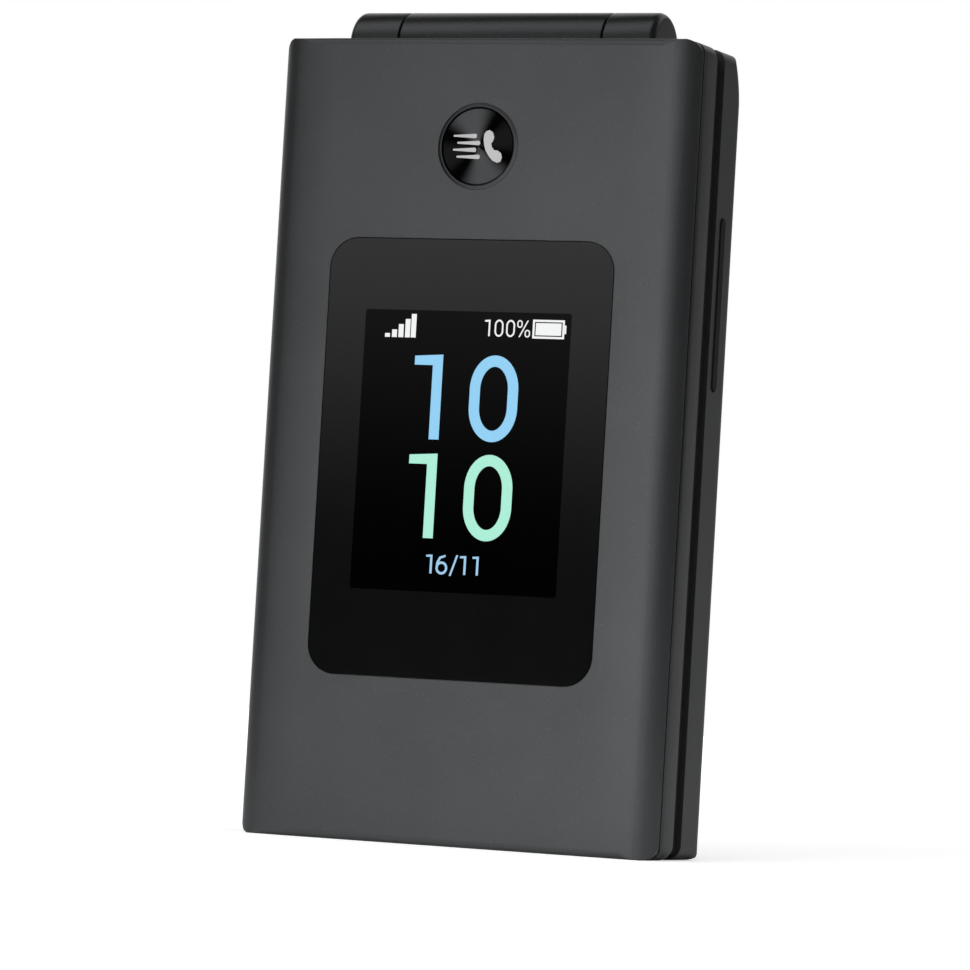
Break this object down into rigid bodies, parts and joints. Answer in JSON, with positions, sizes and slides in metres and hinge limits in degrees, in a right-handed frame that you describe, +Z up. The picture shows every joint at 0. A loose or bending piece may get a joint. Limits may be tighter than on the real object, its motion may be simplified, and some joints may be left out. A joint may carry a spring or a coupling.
{
  "type": "flip phone",
  "caption": "Clamshell phone with a small outer display and a round call button on the lid, a barrel hinge, an inner display and a keypad.",
  "frame": {"origin": "centre of the footprint of the closed phone standing on its lower end", "axes": "+X to the right seen from the lid's face, -Y out of the lid's face, +Z up towards the hinge"},
  "size_m": [0.057, 0.0188, 0.105],
  "materials": {
    "side_paint": "plastic with satin graphite metallic paint",
    "face_paint": "plastic with satin graphite paint that holds fine metal flakes",
    "barrel_paint": "die-cast metal with satin graphite paint",
    "cover_paint": "plastic with satin graphite metallic paint",
    "deck_black": "matt black moulded bezel and key deck",
    "key_plastic": "satin black keycaps with pale numerals",
    "key_call": "green keycap",
    "key_end": "red keycap",
    "nav_metal": "spun metal rocker and confirm key",
    "circuit_board": "green solder mask",
    "dome_film": "milky film with metal domes",
    "battery_wrap": "aluminium can in a dark wrap",
    "gold_contact": "gold-plated contacts",
    "plated_steel": "nickel-plated steel",
    "hinge_steel": "ground steel",
    "mesh_metal": "dark perforated mesh",
    "inner_plastic": "black moulding",
    "window_glass": "polished window, printed black from behind",
    "display_panel": "dark glass display panel",
    "copper_film": "amber flexible circuit",
    "ring_metal": "turned bright ring",
    "dial_metal": "spun black metal with a pale pictogram",
    "rocker_black": "satin black rocker",
    "soft_rubber": "small soft pads"
  },
  "bodies": {
    "base": {"rear_housing": "side_paint", "keypad_deck": "deck_black", "main_board": "circuit_board", "dome_sheet": "dome_film", "battery": "battery_wrap", "battery_contacts": "gold_contact", "sim_socket": "plated_steel", "loudspeaker": "plated_steel", "vibration_motor": "plated_steel", "usb_socket": "plated_steel", "headset_jack": "inner_plastic", "camera_module": "inner_plastic", "camera_window": "window_glass", "charge_contacts": "gold_contact", "microphone": "plated_steel", "antenna": "copper_film", "housing_screws": "plated_steel", "hinge_knuckle_left": "barrel_paint", "hinge_knuckle_right": "barrel_paint", "hinge_cam_head": "hinge_steel", "hinge_pin": "hinge_steel"},
    "lid": {"lid_front_shell": "face_paint", "lid_rear_shell": "side_paint", "lid_bezel": "deck_black", "outer_window": "window_glass", "outer_display": "display_panel", "inner_window": "window_glass", "inner_display": "display_panel", "earpiece": "plated_steel", "earpiece_mesh": "mesh_metal", "lid_board": "circuit_board", "dial_ring": "ring_metal", "lid_magnet": "plated_steel", "lid_bumpers": "soft_rubber", "lid_screws": "plated_steel", "hinge_knuckle_center": "barrel_paint", "hinge_cartridge": "hinge_steel", "lid_flex": "copper_film"},
    "key_1": {"key_1": "key_plastic"},
    "key_2": {"key_2": "key_plastic"},
    "key_3": {"key_3": "key_plastic"},
    "key_4": {"key_4": "key_plastic"},
    "key_5": {"key_5": "key_plastic"},
    "key_6": {"key_6": "key_plastic"},
    "key_7": {"key_7": "key_plastic"},
    "key_8": {"key_8": "key_plastic"},
    "key_9": {"key_9": "key_plastic"},
    "key_star": {"key_star": "key_plastic"},
    "key_0": {"key_0": "key_plastic"},
    "key_hash": {"key_hash": "key_plastic"},
    "soft_key_left": {"soft_key_left": "key_plastic"},
    "soft_key_right": {"soft_key_right": "key_plastic"},
    "call_key": {"call_key": "key_call"},
    "end_key": {"end_key": "key_end"},
    "ok_key": {"ok_key": "nav_metal"},
    "nav_rocker": {"nav_rocker": "nav_metal"},
    "dial_button": {"dial_button": "dial_metal"},
    "volume_rocker": {"volume_rocker": "rocker_black"},
    "battery_cover": {"battery_cover": "cover_paint"}
  },
  "joints": [
    {"name": "flip_hinge", "type": "hinge", "parent": "base", "child": "lid", "pos_m": [0, -0.0004, 0.1004], "axis": [-1, 0, 0], "range_deg": [0, 155]},
    {"name": "dial_button_press", "type": "slide", "parent": "lid", "child": "dial_button", "axis": [0, 1, 0], "range_m": [0, 0.00045], "stiffness_N_per_m": 2500},
    {"name": "battery_cover_off", "type": "slide", "parent": "base", "child": "battery_cover", "axis": [0, 1, 0], "range_m": [0, 0.03]},
    {"name": "volume_rocker_tilt", "type": "hinge", "parent": "base", "child": "volume_rocker", "pos_m": [0.0283, 0.0032, 0.069], "axis": [0, 1, 0], "range_deg": [-1.2, 1.2], "stiffness_Nm_per_rad": 0.05},
    {"name": "nav_rocker_tilt", "type": "hinge", "parent": "base", "child": "nav_rocker", "pos_m": [0, 0.0012, 0.0664], "axis": [1, 0, 0], "range_deg": [-1.8, 1.8], "stiffness_Nm_per_rad": 0.05},
    {"name": "key_1_press", "type": "slide", "parent": "base", "child": "key_1", "axis": [0, 1, 0], "range_m": [0, 0.00035], "stiffness_N_per_m": 2500},
    {"name": "key_2_press", "type": "slide", "parent": "base", "child": "key_2", "axis": [0, 1, 0], "range_m": [0, 0.00035], "stiffness_N_per_m": 2500},
    {"name": "key_3_press", "type": "slide", "parent": "base", "child": "key_3", "axis": [0, 1, 0], "range_m": [0, 0.00035], "stiffness_N_per_m": 2500},
    {"name": "key_4_press", "type": "slide", "parent": "base", "child": "key_4", "axis": [0, 1, 0], "range_m": [0, 0.00035], "stiffness_N_per_m": 2500},
    {"name": "key_5_press", "type": "slide", "parent": "base", "child": "key_5", "axis": [0, 1, 0], "range_m": [0, 0.00035], "stiffness_N_per_m": 2500},
    {"name": "key_6_press", "type": "slide", "parent": "base", "child": "key_6", "axis": [0, 1, 0], "range_m": [0, 0.00035], "stiffness_N_per_m": 2500},
    {"name": "key_7_press", "type": "slide", "parent": "base", "child": "key_7", "axis": [0, 1, 0], "range_m": [0, 0.00035], "stiffness_N_per_m": 2500},
    {"name": "key_8_press", "type": "slide", "parent": "base", "child": "key_8", "axis": [0, 1, 0], "range_m": [0, 0.00035], "stiffness_N_per_m": 2500},
    {"name": "key_9_press", "type": "slide", "parent": "base", "child": "key_9", "axis": [0, 1, 0], "range_m": [0, 0.00035], "stiffness_N_per_m": 2500},
    {"name": "key_star_press", "type": "slide", "parent": "base", "child": "key_star", "axis": [0, 1, 0], "range_m": [0, 0.00035], "stiffness_N_per_m": 2500},
    {"name": "key_0_press", "type": "slide", "parent": "base", "child": "key_0", "axis": [0, 1, 0], "range_m": [0, 0.00035], "stiffness_N_per_m": 2500},
    {"name": "key_hash_press", "type": "slide", "parent": "base", "child": "key_hash", "axis": [0, 1, 0], "range_m": [0, 0.00035], "stiffness_N_per_m": 2500},
    {"name": "soft_key_left_press", "type": "slide", "parent": "base", "child": "soft_key_left", "axis": [0, 1, 0], "range_m": [0, 0.00035], "stiffness_N_per_m": 2500},
    {"name": "soft_key_right_press", "type": "slide", "parent": "base", "child": "soft_key_right", "axis": [0, 1, 0], "range_m": [0, 0.00035], "stiffness_N_per_m": 2500},
    {"name": "call_key_press", "type": "slide", "parent": "base", "child": "call_key", "axis": [0, 1, 0], "range_m": [0, 0.00035], "stiffness_N_per_m": 2500},
    {"name": "end_key_press", "type": "slide", "parent": "base", "child": "end_key", "axis": [0, 1, 0], "range_m": [0, 0.00035], "stiffness_N_per_m": 2500},
    {"name": "ok_key_press", "type": "slide", "parent": "base", "child": "ok_key", "axis": [0, 1, 0], "range_m": [0, 0.00035], "stiffness_N_per_m": 2500}
  ]
}
